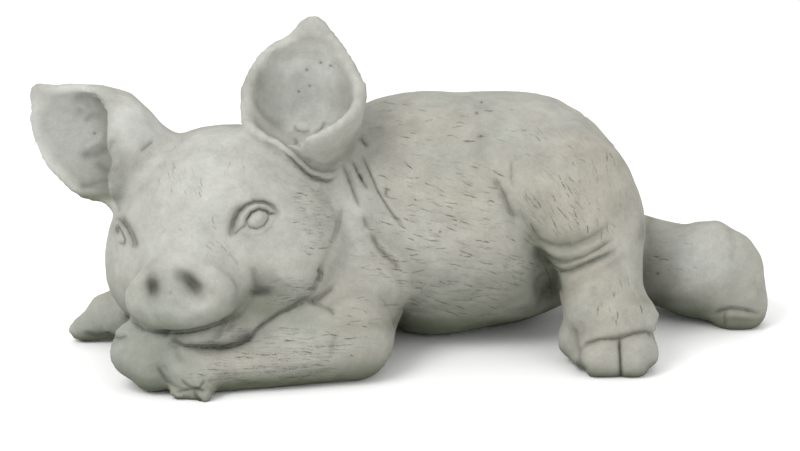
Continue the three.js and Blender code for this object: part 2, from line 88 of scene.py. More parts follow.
# Floor and light: a white sweep under a bright even sky, a key from the upper left and a weak fill
studio = {
    "floorSize": 14.0,
    "floorColor": (0.98, 0.98, 0.98, 1),
    "floorRoughness": 0.9,
    "skyColor": (1.0, 1.0, 1.0, 1),
    "skyStrength": 0.9,
    "lights": (
        {"name": "keyLight", "at": (-0.9, -1.0, 1.5), "size": 0.9, "watts": 19},
        {"name": "fillLight", "at": (1.3, -1.2, 1.0), "size": 1.4, "watts": 6},
        {"name": "backLight", "at": (0.2, 1.4, 1.9), "size": 1.2, "watts": 5},
    ),
}


def deselectAll():
    bpy.ops.object.select_all(action="DESELECT")


def useAlone(thing):
    deselectAll()
    thing.select_set(True)
    bpy.context.view_layer.objects.active = thing


def makeFloor():
    deselectAll()
    bpy.ops.mesh.primitive_plane_add(size=studio["floorSize"], location=(0, 0, 0))
    floor = bpy.context.object
    floor.name = "studio_floor"
    paint = bpy.data.materials.new("floorPaint")
    paint.use_nodes = True
    shader = paint.node_tree.nodes["Principled BSDF"]
    shader.inputs["Base Color"].default_value = studio["floorColor"]
    shader.inputs["Roughness"].default_value = studio["floorRoughness"]
    floor.data.materials.append(paint)


def makeLights():
    world = bpy.data.worlds.new("studioWorld")
    scene.world = world
    world.use_nodes = True
    sky = world.node_tree.nodes["Background"]
    sky.inputs["Color"].default_value = studio["skyColor"]
    sky.inputs["Strength"].default_value = studio["skyStrength"]
    for light in studio["lights"]:
        lamp = bpy.data.lights.new(light["name"], "AREA")
        lamp.size = light["size"]
        lamp.energy = light["watts"]
        holder = bpy.data.objects.new(light["name"], lamp)
        holder.location = light["at"]
        scene.collection.objects.link(holder)
        lookAt(holder, shot["aim"])


makeCamera()
makeFloor()
makeLights()
print("camera, floor and light set")

# The figure
figure = {
    "voxel": 0.0036,  # first mesh size
    "evenRounds": 5,  # smoothing of the facets
    "meltRounds": 60,  # smoothing of the melted places
    "dressRounds": 12,  # smoothing of the dressed places
    "blendRounds": 2,  # smoothing where the mesh gets finer
    "lumps": ((0.0008, 0.034), (0.0004, 0.013), (0.00014, 0.0045)),  # depth and size of the unevenness
    "airyCalm": 0.65,  # share of the unevenness that airy places lose
    "airyShadeAndMoss": 0.55,  # share of the shelter, and so of its painted shade and moss, that airy places lose
    "faceDepth": -0.085,  # what lies before this belongs to the face
    "lineReach": 2.6,  # pixels round a carved line that get the finer mesh
    "hairReach": 1.2,  # the same round a hair or a thin line
    "thinLine": 3,  # lines under this width get a mesh finer still
    "shelterReach": 0.08,  # how near another surface has to be to keep the rain and light off
    "shelterRays": 64,
    "earLightEdge": 2.5,  # how sharply a patch of painted light in the ears ends
    "nudgeFall": 2,  # how quickly a nudge dies out towards its radius
    "meltSwell": -0.3,  # step back out while melting, small enough that forms sink a little
    "seed": 7,
    # section of a carved line, in line widths and shares of its depth
    "groove": {
        "reach": 5,  # how far out a line still moves the surface
        "core": 0.65,  # share of the depth, the rest is the wide sides
        "sideWidth": 2.2,
        "longLine": 8,  # lines longer than this taper at both ends
        "taper": 8,  # how quickly
        "endDepth": 0.3,  # depth left at the very end
        "pitEnd": 0.25,  # what is left of a pushed pit at its ends
        # painted shade and dirt in the middle of a line and on its sides
        "coreShadeAndDirt": 0.55,
        "sideShadeAndDirt": 0.3,
    },
    # thin painted shade and dirt that the stone draws at the bottom of a line
    "thinShadeAndDirt": {
        "width": 0.44,  # in line widths
        "leastWidth": 0.42,  # in pixels
        "reach": 3.2,  # in widths of the dirt
        "margin": 1.5,  # pixels more, so that whole faces are covered
        "widest": 2.5,  # wider lines have none
        "leastInk": 0.2,
        "unmarked": 9.0,  # widths given to faces beside no line
    },
    # hair: value of the faintest stroke, and what the boldest one adds
    "hair": {
        "width": (0.9, 0.45),
        "depth": (0.1, 0.3),
        "ink": (0.2, 0.75),
        "count": 1.5,  # more or less hair all over
        "boldPower": 2.5,  # higher makes bold strokes rarer
        "carvedDepth": 0.13,  # fainter strokes are only drawn
        "bow": 0.05,
        "length": (0.45, 1.3),  # shortest and longest, in lengths of the patch
    },
    "pinhole": {"w": 0.75, "d": 0.7, "ink": 1.0},
}

# Carving, drawn on the picture from the front: points in its pixels, width in pixels and depth
# in millimetres, below zero for a ridge. ink is how dark the painted shade and dirt in the line are. A deep
# pit is pushed straight in, away from the viewer, and the rest goes in square to the surface.
carving = (
    # near eye: crease over the lid, lid, eyeball under the upper and lower lid, inner corner
    {"w": 3.4, "d": 0.8, "ink": 0.4, "line": ((231.5, 238), (232, 224), (237, 211), (247, 203))},
    {"w": 1.9, "d": 2.4, "ink": 0.75, "line": ((232.8, 237), (233.2, 228), (235, 220), (239.5, 211),
     (246.5, 204.8), (255, 201.4), (264.5, 201.8), (273, 205.6), (278.4, 211.5), (278.6, 216))},
    {"w": 2.6, "d": -1.7, "line": ((240, 229), (241.5, 219), (247, 210.5), (256, 205.8), (265, 206.2),
     (273, 210))},
    {"w": 1.2, "d": 2.0, "ink": 1.0, "line": ((245.8, 226), (247, 219), (251.5, 212.3), (259, 208.8),
     (266, 210.6), (270.5, 213.4), (278, 213.4))},
    {"w": 1.0, "d": 1.0, "ink": 0.55, "line": ((245.8, 222), (250, 227.8), (257, 228.8), (264, 225.4),
     (268.2, 219.4), (269.6, 212))},
    {"w": 5.2, "d": -2.0, "line": ((254, 221.5), (260, 216.5))},
    {"w": 1.1, "d": 1.0, "ink": 0.55, "line": ((247, 225), (240.5, 228.6), (234.5, 234.5))},
    {"w": 2.0, "d": -0.7, "line": ((242, 232), (251, 234), (261, 232.6), (268.6, 227), (272, 220))},
    {"w": 5.0, "d": 0.8, "ink": 0, "line": ((238, 241), (252, 241.5), (266, 237), (277, 228))},
    {"w": 5.0, "d": 1.0, "ink": 0, "line": ((229, 240), (229, 226), (233, 212), (243, 200))},
    # far eye, foreshortened
    {"w": 2.6, "d": 0.8, "ink": 0.3, "line": ((117, 215), (124, 219), (131, 229), (136, 242), (134, 252))},
    {"w": 1.7, "d": 1.8, "ink": 0.7, "line": ((117, 217), (121.5, 220), (127, 227.5), (131, 235),
     (134, 243.5), (132, 249))},
    {"w": 2.2, "d": -1.0, "line": ((117, 222), (121, 227), (126, 235), (128.5, 243))},
    {"w": 1.2, "d": 1.4, "ink": 0.6, "line": ((115, 223), (118, 225.5), (122, 232), (125, 239), (124, 244),
     (117, 243))},
    {"w": 1.6, "d": 1.4, "ink": 0.9, "line": ((116.2, 227), (116.6, 231.5))},
    # nostrils, soft outside and deep inside, pushed straight in
    {"w": 7.0, "d": 2.8, "ink": 0.42, "push": True, "line": ((149, 266), (152.5, 282), (154, 300))},
    {"w": 4.8, "d": 5.2, "ink": 1.0, "push": True, "line": ((152.5, 277), (154.2, 288), (155, 297))},
    {"w": 6.5, "d": 2.8, "ink": 0.5, "push": True, "line": ((169, 270), (187, 278), (201, 293))},
    {"w": 4.4, "d": 6.0, "ink": 1.0, "push": True, "line": ((181, 275), (190, 280.5), (196, 287),
     (200, 295))},
    {"w": 3.0, "d": 0.8, "ink": 0.15, "line": ((200, 286), (207, 288.5), (213, 294))},
    {"w": 8.0, "d": -1.4, "line": ((165, 308), (178, 313), (196, 310))},
    {"w": 9.0, "d": 0.9, "ink": 0, "line": ((143, 258), (165, 262), (190, 263), (216, 272))},
    # rim of the snout over the mouth, the mouth, its corner, lower lip and the line under the chin
    {"w": 4.0, "d": -1.2, "line": ((130, 312), (142, 323), (160, 328), (182, 328), (204, 323), (224, 314),
     (240, 302))},
    {"w": 1.7, "d": 1.6, "ink": 0.5, "line": ((125.5, 311), (128, 316), (133.3, 322.6), (142.8, 329),
     (156, 332.4), (172, 333.4))},
    {"w": 2.3, "d": 3.2, "ink": 1.0, "line": ((150, 331.5), (171.6, 333.6), (190.7, 332.2), (206.6, 328.8),
     (219.4, 324.4), (236, 316.5))},
    {"w": 2.6, "d": 1.6, "ink": 0.15, "line": ((220, 324), (233, 317), (243, 309), (250, 301), (255, 293))},
    {"w": 3.4, "d": 4.8, "ink": 1.0, "push": True, "line": ((248, 295), (256, 292), (262, 291), (273, 292))},
    {"w": 7.0, "d": 1.8, "ink": 0.4, "push": True, "line": ((246, 294), (260, 291), (284, 296))},
    {"w": 3.0, "d": 1.8, "ink": 0.55, "line": ((253, 266), (255.5, 278), (257, 291))},
    {"w": 4.5, "d": -2.2, "line": ((222, 325), (232, 320), (242, 314))},
    {"w": 6.0, "d": 1.4, "ink": 0, "line": ((272, 283), (284, 288), (290, 296))},
    {"w": 3.0, "d": 0.6, "ink": 0.1, "line": ((165, 334), (185, 335), (205, 332), (222, 327), (238, 318))},
    {"w": 4.5, "d": -2.2, "line": ((174, 339), (186, 341), (200, 341), (214, 338), (228, 333), (240, 326))},
    {"w": 4.2, "d": 1.0, "ink": 0.3, "line": ((186, 347.5), (204, 349), (224, 348), (241, 343), (257, 332))},
    {"w": 2.3, "d": 2.6, "ink": 0.95, "line": ((170, 338), (176, 342.5), (184.3, 346), (203.5, 347.6),
     (222.6, 346.4), (238.5, 342), (252, 333))},
    {"w": 3.6, "d": 0.8, "ink": 0.6, "line": ((214, 346), (230, 343.5), (243, 338), (252, 331))},
    {"w": 1.7, "d": 2.0, "ink": 0.8, "line": ((240, 341), (248, 336), (256, 329), (264, 323), (280, 313.4),
     (291, 309), (300.7, 303.8), (312, 298))},
    # side of the muzzle: a shallow dip up to the eye
    {"w": 8.0, "d": 0.9, "ink": 0, "line": ((226, 268), (236, 254), (244, 244))},
    {"w": 1.4, "d": 0.6, "ink": 0.25, "line": ((229, 252), (234, 258), (239, 266))},
    # jowl crease behind the cheek, with the knob in it and the star of creases below
    {"w": 4.0, "d": 1.6, "ink": 0.1, "line": ((344, 205), (342, 218), (338.5, 232), (333, 247), (327, 260),
     (322, 272), (317, 286), (312, 298))},
    {"w": 2.0, "d": 1.2, "ink": 0.3, "line": ((342.5, 208), (341, 218), (338.5, 230), (334, 243))},
    {"w": 1.5, "d": 1.2, "ink": 0.4, "line": ((325, 262), (321.5, 270), (318, 284), (313, 297))},
    {"w": 1.5, "d": 1.6, "ink": 0.8, "line": ((318.6, 272), (322, 270.5), (323, 275), (321.5, 280),
     (318.8, 283))},
    {"w": 2.0, "d": -0.8, "line": ((320, 275), (319.6, 279))},
    {"w": 2.0, "d": 1.5, "ink": 0.5, "line": ((304, 301), (313.5, 302), (320, 299), (327, 293.5),
     (336, 286))},
    {"w": 1.4, "d": 1.2, "ink": 0.4, "line": ((312, 301), (320, 304), (328, 308), (335, 314.5))},
    {"w": 7.0, "d": 1.2, "ink": 0, "line": ((306, 304), (318, 301), (330, 296))},
    # near ear: rolled left rim with its curl, lumps in the cup, lobe and the fold at its base
    {"w": 3.0, "d": -1.0, "line": ((248, 92), (252, 106), (261, 119), (272, 129), (283, 135), (291, 134),
     (293, 128))},
    {"w": 2.2, "d": 1.0, "ink": 0.2, "line": ((256, 98), (262, 110), (270, 119), (280, 126), (287, 130))},
    {"w": 1.6, "d": 1.0, "ink": 0.4, "line": ((294, 125), (298, 130.5), (305, 131.5), (311, 130))},
    {"w": 1.6, "d": 1.0, "ink": 0.4, "line": ((317, 132), (321, 129), (324.5, 124.5))},
    {"w": 3.4, "d": -1.0, "line": ((298, 137), (308, 138), (318, 136))},
    {"w": 2.0, "d": 1.0, "ink": 0.4, "line": ((296, 139), (298, 146))},
    {"w": 8.0, "d": 0.9, "ink": 0, "line": ((285, 62), (300, 57), (315, 60))},
    {"w": 6.0, "d": -0.8, "line": ((290, 75), (295, 95), (292, 108))},
    {"w": 6.0, "d": -0.7, "line": ((312, 100), (320, 112), (322, 122))},
    {"w": 5.0, "d": 0.7, "ink": 0.05, "line": ((266, 88), (272, 98), (280, 108))},
    {"w": 3.6, "d": 1.6, "ink": 0.35, "line": ((303, 158), (312, 165), (324, 168), (336, 166), (344, 158))},
    {"w": 3.4, "d": -1.8, "line": ((274, 141), (283, 147), (291, 154), (300, 163), (310, 171.5), (320, 176.5),
     (331, 177), (339, 171))},
    {"w": 1.7, "d": 1.7, "ink": 0.75, "line": ((284, 153), (291, 158.5), (298, 166), (306, 173.5),
     (316, 179.5), (327, 182), (336, 179))},
    {"w": 1.7, "d": 1.4, "ink": 0.6, "line": ((281, 141), (292, 149.5), (301, 158.5), (311, 167.5),
     (322, 171.8), (334, 171), (341, 165))},
    {"w": 3.0, "d": 1.0, "ink": 0.2, "line": ((342, 163), (350, 152), (356, 141), (360, 128))},
    # far ear: lumps in the cup and the lip under it
    {"w": 4.0, "d": 1.2, "ink": 0.5, "line": ((79, 98), (86, 96.5), (93, 97.5), (99, 102))},
    {"w": 3.4, "d": -1.0, "line": ((84, 105), (87, 111), (85, 119))},
    {"w": 3.4, "d": 1.2, "ink": 0.35, "line": ((82, 112), (88, 118), (98, 116))},
    {"w": 4.0, "d": 1.6, "ink": 0.6, "line": ((88, 155), (97, 155), (106, 149), (112, 142))},
    {"w": 3.4, "d": -1.0, "line": ((90, 146), (98, 142), (104, 135))},
    {"w": 3.4, "d": 1.2, "ink": 0.4, "line": ((99, 164), (106, 168), (114, 170))},
    {"w": 2.6, "d": 1.0, "ink": 0.45, "line": ((80, 186), (90, 184), (103, 180), (112, 178))},
    {"w": 3.0, "d": -1.0, "line": ((74, 188), (84, 191), (96, 190), (108, 188))},
    {"w": 1.6, "d": 0.8, "ink": 0.35, "line": ((141, 152), (147, 147), (154, 141))},
    # folds of the neck
    {"w": 1.3, "d": 1.6, "ink": 0.5, "line": ((343, 164), (348, 178), (353, 192), (359.5, 208.5))},
    {"w": 1.2, "d": 1.6, "ink": 0.5, "line": ((352, 160), (357, 172), (362, 181), (367.5, 189))},
    {"w": 1.0, "d": 0.8, "ink": 0.75, "line": ((358, 173), (362, 180))},
    {"w": 1.3, "d": 1.5, "ink": 0.6, "line": ((361, 155), (369, 171), (378, 192), (388, 208), (395, 218),
     (402, 228))},
    {"w": 3.6, "d": -1.4, "line": ((349, 165), (358, 187), (368, 206), (378, 224))},
    {"w": 3.4, "d": -1.2, "line": ((366, 164), (374, 184), (384, 202), (394, 218))},
    {"w": 4.6, "d": 1.2, "ink": 0, "line": ((358, 182), (366, 200), (373, 216))},
    {"w": 1.6, "d": 1.2, "ink": 0.5, "line": ((363.5, 219), (366, 227))},
    {"w": 1.7, "d": 1.6, "ink": 0.5, "line": ((370, 233), (377, 247), (386, 256), (395, 264), (401, 273))},
    {"w": 3.2, "d": -0.9, "line": ((376, 238), (385, 249), (395, 257), (403, 266))},
    {"w": 1.6, "d": 1.2, "ink": 0.6, "line": ((361, 138), (363, 142), (366, 145))},
    {"w": 1.6, "d": 1.0, "ink": 0.6, "line": ((386, 190), (385.4, 195))},
    # crease of the flank
    {"w": 4.0, "d": 1.0, "ink": 0.12, "line": ((477, 96), (479, 120), (482, 142), (488, 162), (497, 182))},
    {"w": 1.9, "d": 1.6, "ink": 0.5, "line": ((494, 176), (503, 192), (508, 204), (511, 211), (517, 221))},
    {"w": 1.8, "d": 0.8, "ink": 0.25, "line": ((512, 158), (511, 172), (512, 188))},
    {"w": 6.0, "d": 2.0, "ink": 0.2, "line": ((512, 212), (526, 230), (538, 252), (544, 274), (547, 300))},
    {"w": 14.0, "d": 2.6, "ink": 0, "line": ((500, 176), (516, 206), (530, 232), (542, 262), (548, 300))},
    {"w": 5.0, "d": 2.2, "ink": 0.65, "line": ((534, 248), (545, 263), (551, 279), (554, 304))},
    {"w": 2.4, "d": 1.6, "ink": 0.8, "line": ((537, 254), (546, 267), (551, 283), (552.5, 302))},
    {"w": 9.0, "d": -1.6, "line": ((488, 200), (500, 222), (514, 250), (520, 280))},
    {"w": 4.0, "d": -0.6, "line": ((508, 182), (518, 202), (529, 218))},
    # folds under the haunch and across the hock
    {"w": 2.6, "d": 1.8, "ink": 0.45, "line": ((528, 232), (540, 244), (556, 248.5), (573, 246.5), (590, 239),
     (610, 226))},
    {"w": 3.0, "d": -1.4, "line": ((540, 252), (556, 256), (575, 253), (594, 244), (609, 233))},
    {"w": 1.7, "d": 1.4, "ink": 0.5, "line": ((536, 256), (548, 263), (566, 262.6), (584, 256.6), (600, 248),
     (615, 238))},
    {"w": 2.4, "d": -1.2, "line": ((545, 265.5), (560, 267.5), (580, 262), (604, 252))},
    {"w": 2.0, "d": 2.0, "ink": 0.65, "line": ((538, 261), (549, 270), (558, 272), (570, 270.5), (590, 262),
     (618, 249))},
    {"w": 4.0, "d": -1.2, "line": ((562, 280), (584, 272), (606, 262), (624, 252))},
    {"w": 4.0, "d": 1.6, "ink": 0.15, "line": ((560, 290), (584, 279), (604, 270), (626, 260))},
    # near hind hoof: cuff, coronet over two toes, cleft and dewclaw
    {"w": 3.6, "d": -1.4, "line": ((580, 344), (590, 338.5), (606, 335.5), (620, 332.5), (640, 327),
     (652, 328), (659, 335))},
    {"w": 1.9, "d": 2.0, "ink": 0.55, "line": ((577, 352), (586, 343.6), (600, 339.4), (616, 338.8),
     (622, 337.8), (634, 333.4), (646, 331.4), (654, 335), (658, 343))},
    {"w": 1.5, "d": 2.4, "ink": 0.9, "line": ((619.5, 337), (619.8, 350), (620.5, 364), (620.8, 380))},
    {"w": 2.6, "d": 1.8, "ink": 0.5, "line": ((573, 327), (575.5, 341), (577, 352), (579, 366))},
    {"w": 2.4, "d": 0.9, "ink": 0.15, "line": ((592, 284), (594, 297), (591, 309))},
    {"w": 2.2, "d": 0.8, "ink": 0.15, "line": ((580, 320), (583, 331), (580, 339))},
    {"w": 3.4, "d": 0.9, "ink": 0.1, "line": ((613, 318), (617, 328), (623, 335))},
    # far hind foot: coronet, cleft and the lower toe
    {"w": 2.6, "d": 1.0, "ink": 0.2, "line": ((731, 226), (733, 244), (729, 264))},
    {"w": 1.9, "d": 2.2, "ink": 0.6, "line": ((713, 315), (720, 311), (730, 308.6), (745, 310.4),
     (761, 314))},
    {"w": 2.8, "d": -1.2, "line": ((718, 317), (730, 314.5), (744, 316), (758, 319))},
    {"w": 1.6, "d": 1.0, "ink": 0.4, "line": ((724, 312), (724.5, 326))},
    {"w": 2.2, "d": 0.8, "ink": 0.2, "line": ((756, 283), (760, 291), (759, 299))},
    {"w": 4.0, "d": 1.8, "ink": 0.4, "line": ((650, 218), (646, 226), (643, 236))},
    # near fore hoof, its creases and dewclaws
    {"w": 2.6, "d": 1.2, "ink": 0.3, "line": ((172, 334), (175, 345), (178, 354), (183, 364))},
    {"w": 2.0, "d": 1.6, "ink": 0.5, "line": ((158, 366), (162, 374), (167, 381.6), (175, 386.6),
     (183, 389.6))},
    {"w": 1.6, "d": 1.5, "ink": 0.6, "line": ((180, 379), (187, 385.4), (193, 388.8), (199, 388),
     (206, 379))},
    {"w": 1.6, "d": 1.5, "ink": 0.7, "line": ((176, 392), (186, 390), (196, 389), (206, 391))},
    {"w": 1.6, "d": 1.4, "ink": 0.6, "line": ((193, 390), (196, 397), (202, 403))},
    {"w": 2.8, "d": -1.2, "line": ((201, 385.5), (208, 383.5), (214, 388))},
    {"w": 1.8, "d": 1.2, "ink": 0.5, "line": ((106, 333), (112, 336.5), (120, 337.8), (128, 335))},
    {"w": 3.0, "d": -1.0, "line": ((108, 328.5), (117, 332), (127, 331))},
    {"w": 8.0, "d": 0.9, "ink": 0, "line": ((134, 342), (142, 352), (146, 366))},
    # elbow of the near foreleg, and the belly behind it
    {"w": 3.2, "d": 2.2, "ink": 0.15, "line": ((376, 291), (386, 297), (393, 307), (397, 320), (399, 334))},
    {"w": 6.0, "d": 1.6, "ink": 0.2, "line": ((392, 298), (400, 310), (404, 326))},
    {"w": 2.6, "d": 1.0, "ink": 0.2, "line": ((337.5, 330), (334, 344), (331, 360))},
    {"w": 4.0, "d": 1.0, "ink": 0.1, "line": ((343, 294), (360, 289.5), (380, 292))},
    # far forefoot: cleft
    {"w": 2.0, "d": 1.6, "ink": 0.5, "line": ((83, 332), (96, 336), (112, 334))},
)

# Pinholes left by air in the casting: x, y on the picture
pinholes = (
    (171, 292.6), (307, 70), (320.5, 63), (330.5, 66), (310, 86), (94.5, 133.5), (657.5, 273.5), (481.5, 102),
    (477, 113), (481, 136), (299, 92), (440, 232),
)

# Hair, in patches on the picture: middle and half sizes in pixels, strokes, lie in degrees
# below the horizontal, spread of the lie, and stroke length in pixels
coat = (
    {"at": (470, 128), "half": (80, 22), "count": 22, "lie": 5, "spread": 6, "length": 12},
    {"at": (405, 125), "half": (30, 30), "count": 10, "lie": 2, "spread": 6, "length": 12},
    {"at": (440, 178), "half": (62, 26), "count": 40, "lie": 17, "spread": 9, "length": 13},
    {"at": (450, 222), "half": (66, 26), "count": 64, "lie": 13, "spread": 8, "length": 14},
    {"at": (458, 272), "half": (76, 28), "count": 92, "lie": 9, "spread": 8, "length": 16},
    {"at": (460, 305), "half": (70, 14), "count": 46, "lie": 7, "spread": 10, "length": 17},
    {"at": (382, 215), "half": (18, 22), "count": 7, "lie": 8, "spread": 8, "length": 11},
    {"at": (372, 262), "half": (22, 26), "count": 15, "lie": 5, "spread": 8, "length": 12},
    {"at": (315, 216), "half": (20, 40), "count": 66, "lie": 6, "spread": 9, "length": 10},
    {"at": (285, 292), "half": (32, 14), "count": 24, "lie": -6, "spread": 8, "length": 14},
    {"at": (272, 349), "half": (76, 22), "count": 100, "lie": 2, "spread": 4, "length": 24},
    {"at": (272, 376), "half": (78, 10), "count": 60, "lie": -2, "spread": 4, "length": 26},
    {"at": (352, 325), "half": (28, 34), "count": 22, "lie": 4, "spread": 10, "length": 12},
    {"at": (195, 165), "half": (60, 28), "count": 26, "bold": 0.5, "lie": 78, "spread": 22, "length": 10},
    {"at": (190, 215), "half": (40, 24), "count": 8, "bold": 0.5, "lie": 70, "spread": 30, "length": 8},
    {"at": (228, 252), "half": (24, 14), "count": 9, "bold": 0.5, "lie": 50, "spread": 15, "length": 9},
    {"at": (300, 175), "half": (26, 12), "count": 12, "bold": 0.5, "lie": 20, "spread": 12, "length": 10},
    {"at": (548, 150), "half": (40, 24), "count": 20, "lie": 45, "spread": 14, "length": 10},
    {"at": (553, 205), "half": (38, 32), "count": 52, "lie": 56, "spread": 9, "length": 15},
    {"at": (605, 190), "half": (32, 48), "count": 20, "lie": 78, "spread": 12, "length": 12},
    {"at": (520, 250), "half": (18, 34), "count": 18, "lie": 30, "spread": 15, "length": 11},
    {"at": (620, 300), "half": (26, 26), "count": 12, "lie": 82, "spread": 8, "length": 9},
    {"at": (672, 262), "half": (26, 24), "count": 12, "lie": 6, "spread": 10, "length": 10},
)
# The same from behind, plainer
coatBehind = (
    {"at": (330, 190), "half": (110, 60), "count": 46, "lie": -12, "spread": 12, "length": 14},
    {"at": (240, 200), "half": (50, 60), "count": 18, "lie": -60, "spread": 16, "length": 13},
    {"at": (520, 210), "half": (50, 40), "count": 14, "lie": -10, "spread": 12, "length": 12},
)

# Places smoothed before carving: x, y, radius on the picture
dressed = (
    (256, 218, 30), (122, 233, 24), (300, 158, 36), (195, 388, 26), (118, 336, 18), (553, 262, 34),
    (620, 345, 40), (372, 200, 40), (700, 300, 60), (321, 285, 24), (313, 24, 16), (36, 104, 22),
    (250, 90, 14), (250, 305, 40), (200, 337, 44),
)
melted = (  # far more so
    (154, 284, 26), (190, 282, 28), (238, 314, 28), (262, 290, 26), (225, 325, 24), (531, 241, 16),
    (538, 256, 14), (313, 22, 12), (34, 100, 14),
)

# Thin or open places with calmer lumps and less painted shade and moss: x, y, half width, half height, share
airy = (
    (62, 125, 44, 66, 1.0), (304, 84, 66, 74, 1.0), (686, 252, 44, 34, 0.6),
)

# Places where a form was pulled into line: x, y, radius, right, down on the picture
nudges = (
    (28, 108, 7, 4, 0), (41, 91, 14, -6, -3), (72, 88, 30, 0, -2), (38, 132, 24, -4, 0), (48, 156, 20, -2, 0),
    (98, 203, 12, 2, -3), (110, 162, 14, 6, 0), (138, 100, 20, 0, 2), (314, 20, 17, -1, -3),
    (270, 49, 40, -7, -2), (242, 104, 30, -2, 0), (331, 36, 20, 2, 0), (360, 68, 32, -3, 0),
    (299, 29, 12, -2, -1), (329, 29, 12, 2, 0), (309, 16, 7, -2, 0), (582, 117, 16, 1, -3),
    (594, 120, 40, -3, 2), (98, 303, 16, -3, -5), (74, 332, 15, -3, 0), (756, 246, 20, -3, 1),
    (766, 300, 16, 2, 0), (577, 374, 12, 6, -4), (656, 374, 12, -5, -4), (706, 214, 14, 0, 3),
    (124, 386, 20, 5, -2),
)


def readPlaces(mesh):
    places = np.empty(len(mesh.vertices) * 3)
    mesh.vertices.foreach_get("co", places)
    return places.reshape(-1, 3)


def writePlaces(mesh, places):
    mesh.vertices.foreach_set("co", places.ravel())
    mesh.update()


def readNormals(mesh):
    normals = np.empty(len(mesh.vertices) * 3)
    mesh.vertex_normals.foreach_get("vector", normals)
    return normals.reshape(-1, 3)


def readEdges(mesh):
    edges = np.empty(len(mesh.edges) * 2, dtype=np.int64)
    mesh.edges.foreach_get("vertices", edges)
    return edges.reshape(-1, 2)


def readCorners(mesh):
    corners = np.empty(len(mesh.loops), dtype=np.int64)
    mesh.loops.foreach_get("vertex_index", corners)
    return corners.reshape(-1, 3)


def addValues(mesh, name, domain, values):
    layer = mesh.attributes.new(name, "FLOAT", domain)
    layer.data.foreach_set("value", values)


def eyeAxes(turn):
    pitch = math.radians(shot["pitch"])
    yaw = math.radians(turn)
    back = np.array((math.sin(yaw) * math.cos(pitch), -math.cos(yaw) * math.cos(pitch), math.sin(pitch)))
    right = np.array((math.cos(yaw), math.sin(yaw), 0.0))
    return back, right, np.cross(back, right)


# Where places fall on the picture, seen from the front or from behind
def toPicture(places, turn=0):
    back, right, up = eyeAxes(turn)
    eye = np.array(shot["aim"]) + back * shot["distance"]
    offset = places - eye
    scale = shot["distance"] / shot["pixel"] / -(offset @ back)
    x = shot["width"] / 2 + (offset @ right) * scale
    y = shot["height"] / 2 - (offset @ up) * scale
    return np.column_stack((x, y))


# Pulls the outline into line
def nudge(mesh):
    places = readPlaces(mesh)
    spots = toPicture(places)
    _, right, up = eyeAxes(0)
    for x, y, radius, across, down in nudges:
        off = np.hypot(spots[:, 0] - x, spots[:, 1] - y) / radius
        share = np.exp(-figure["nudgeFall"] * off**2)[:, None] * shot["pixel"]
        places += share * (across * right - down * up)
    writePlaces(mesh, places)


# How strongly soft patches on the picture reach each spot
def patchShare(spots, patches, edge=1.0):
    amount = np.zeros(len(spots))
    for x, y, wide, high, strength in patches:
        off = ((spots[:, 0] - x) / wide) ** 2 + ((spots[:, 1] - y) / high) ** 2
        amount = np.maximum(amount, strength * np.exp(-(off**edge)))
    return amount


def surfaceTree(mesh):
    places = readPlaces(mesh)
    faces = [tuple(face.vertices) for face in mesh.polygons]
    return BVHTree.FromPolygons([tuple(p) for p in places], faces)


# Which vertices the eye sees, with nothing in the way
def inSight(mesh, turn=0):
    back, _, _ = eyeAxes(turn)
    places = readPlaces(mesh)
    normals = readNormals(mesh)
    tree = surfaceTree(mesh)
    eye = np.array(shot["aim"]) + back * shot["distance"]
    towards = eye - places
    towards /= np.linalg.norm(towards, axis=1)[:, None]
    facing = (normals * towards).sum(axis=1)
    seen = np.zeros(len(places), dtype=bool)
    for i in np.nonzero(facing > 0.02)[0]:
        start = Vector(places[i] + normals[i] * (1.5 * millimetre))  # clear of its own face
        seen[i] = tree.ray_cast(start, Vector(towards[i]))[0] is None
    return seen


# Smooths in pairs of steps, in and back out, so that thin parts keep their size
def relax(mesh, rounds, weight=None, shrink=0.5, swell=-0.53):
    edges = readEdges(mesh)
    places = readPlaces(mesh)
    count = np.bincount(edges.ravel(), minlength=len(places)).astype(float)
    amount = np.ones(len(places)) if weight is None else weight
    for _ in range(rounds):
        for factor in (shrink, swell):
            total = np.zeros_like(places)
            for axis in range(3):
                total[:, axis] = np.bincount(edges[:, 0], places[edges[:, 1], axis], len(places))
                total[:, axis] += np.bincount(edges[:, 1], places[edges[:, 0], axis], len(places))
            places += (total / count[:, None] - places) * (factor * amount)[:, None]
    writePlaces(mesh, places)


# How closely the surface around hems a place in, 0 in the open and 1 in a deep hollow
def measureShelter(mesh):
    tree = surfaceTree(mesh)
    places = readPlaces(mesh)
    normals = readNormals(mesh)
    rays = figure["shelterRays"]
    steps = np.arange(rays) + 0.5
    height = 1 - 2 * steps / rays
    spin = steps * math.pi * (3 - math.sqrt(5))  # spreads the rays evenly over the ball
    flat = np.sqrt(1 - height**2)
    aims = np.column_stack((flat * np.cos(spin), flat * np.sin(spin), height))
    reach = figure["shelterReach"]
    vectors = [Vector(aim) for aim in aims]
    shelter = np.zeros(len(places))
    for i, normal in enumerate(normals):
        cosines = aims @ normal
        start = Vector(places[i] + normal * millimetre)
        clear = 0.0
        whole = 0.0
        for k in np.nonzero(cosines > 0.1)[0]:
            whole += cosines[k]
            hit = tree.ray_cast(start, vectors[k], reach)[3]
            clear += cosines[k] * (1.0 if hit is None else hit / reach)
        shelter[i] = 1 - clear / whole
    return shelter


# How much a place looks down, and more so close to the ground; it drives the painted shade and moss on the
# undersides
def measureUnder(mesh):
    downward = -readNormals(mesh)[:, 2]
    height = readPlaces(mesh)[:, 2]
    under = np.interp(downward, (-0.2, 0.25, 0.8), (0.0, 0.45, 1.0))
    low = np.interp(height, (0.0, 0.02, 0.1, 0.14), (1.35, 1.0, 0.8, 0.15))
    return under * low


def lineLength(line):
    return sum(math.dist(a, b) for a, b in zip(line[:-1], line[1:]))


